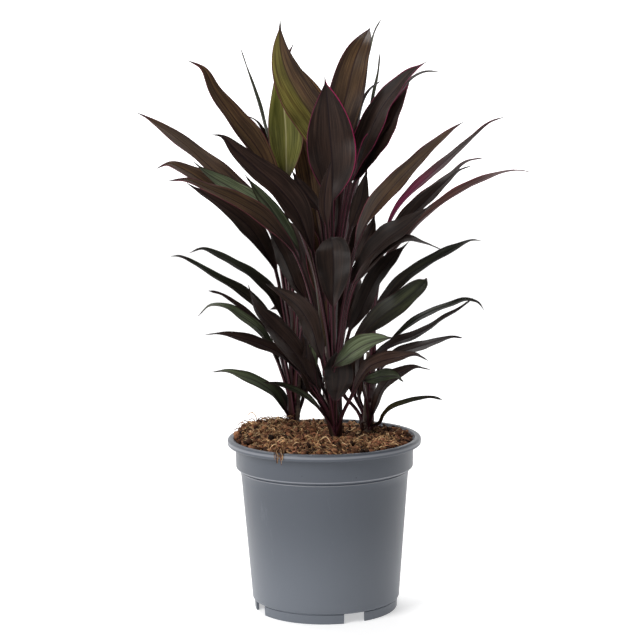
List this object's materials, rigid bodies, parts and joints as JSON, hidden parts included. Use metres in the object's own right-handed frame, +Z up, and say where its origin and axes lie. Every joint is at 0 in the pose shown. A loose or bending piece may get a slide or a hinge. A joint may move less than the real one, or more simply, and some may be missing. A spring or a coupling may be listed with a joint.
{
  "type": "potted ti plant",
  "caption": "Potted ti plant: four leafy stems of dark purple-brown lance leaves with pink margins, standing in potting soil in a plain round nursery pot.",
  "frame": {"origin": "middle of the pot's underside, on the surface it stands on", "axes": "+Z up along the pot's axis; -Y towards the side seen in the picture; +X to the right seen from there"},
  "size_m": [0.381, 0.2917, 0.577],
  "materials": {
    "pot_plastic": "matte blue-grey moulded plastic",
    "potting_soil": "rough brown coir, bark and peat",
    "leaves": "smooth dark purple-brown leaf with a soft sheen"
  },
  "bodies": {
    "root": {"pot": "pot_plastic", "soil": "potting_soil", "stem_left": "leaves", "stem_front": "leaves", "stem_right": "leaves", "stem_back": "leaves"}
  },
  "joints": []
}
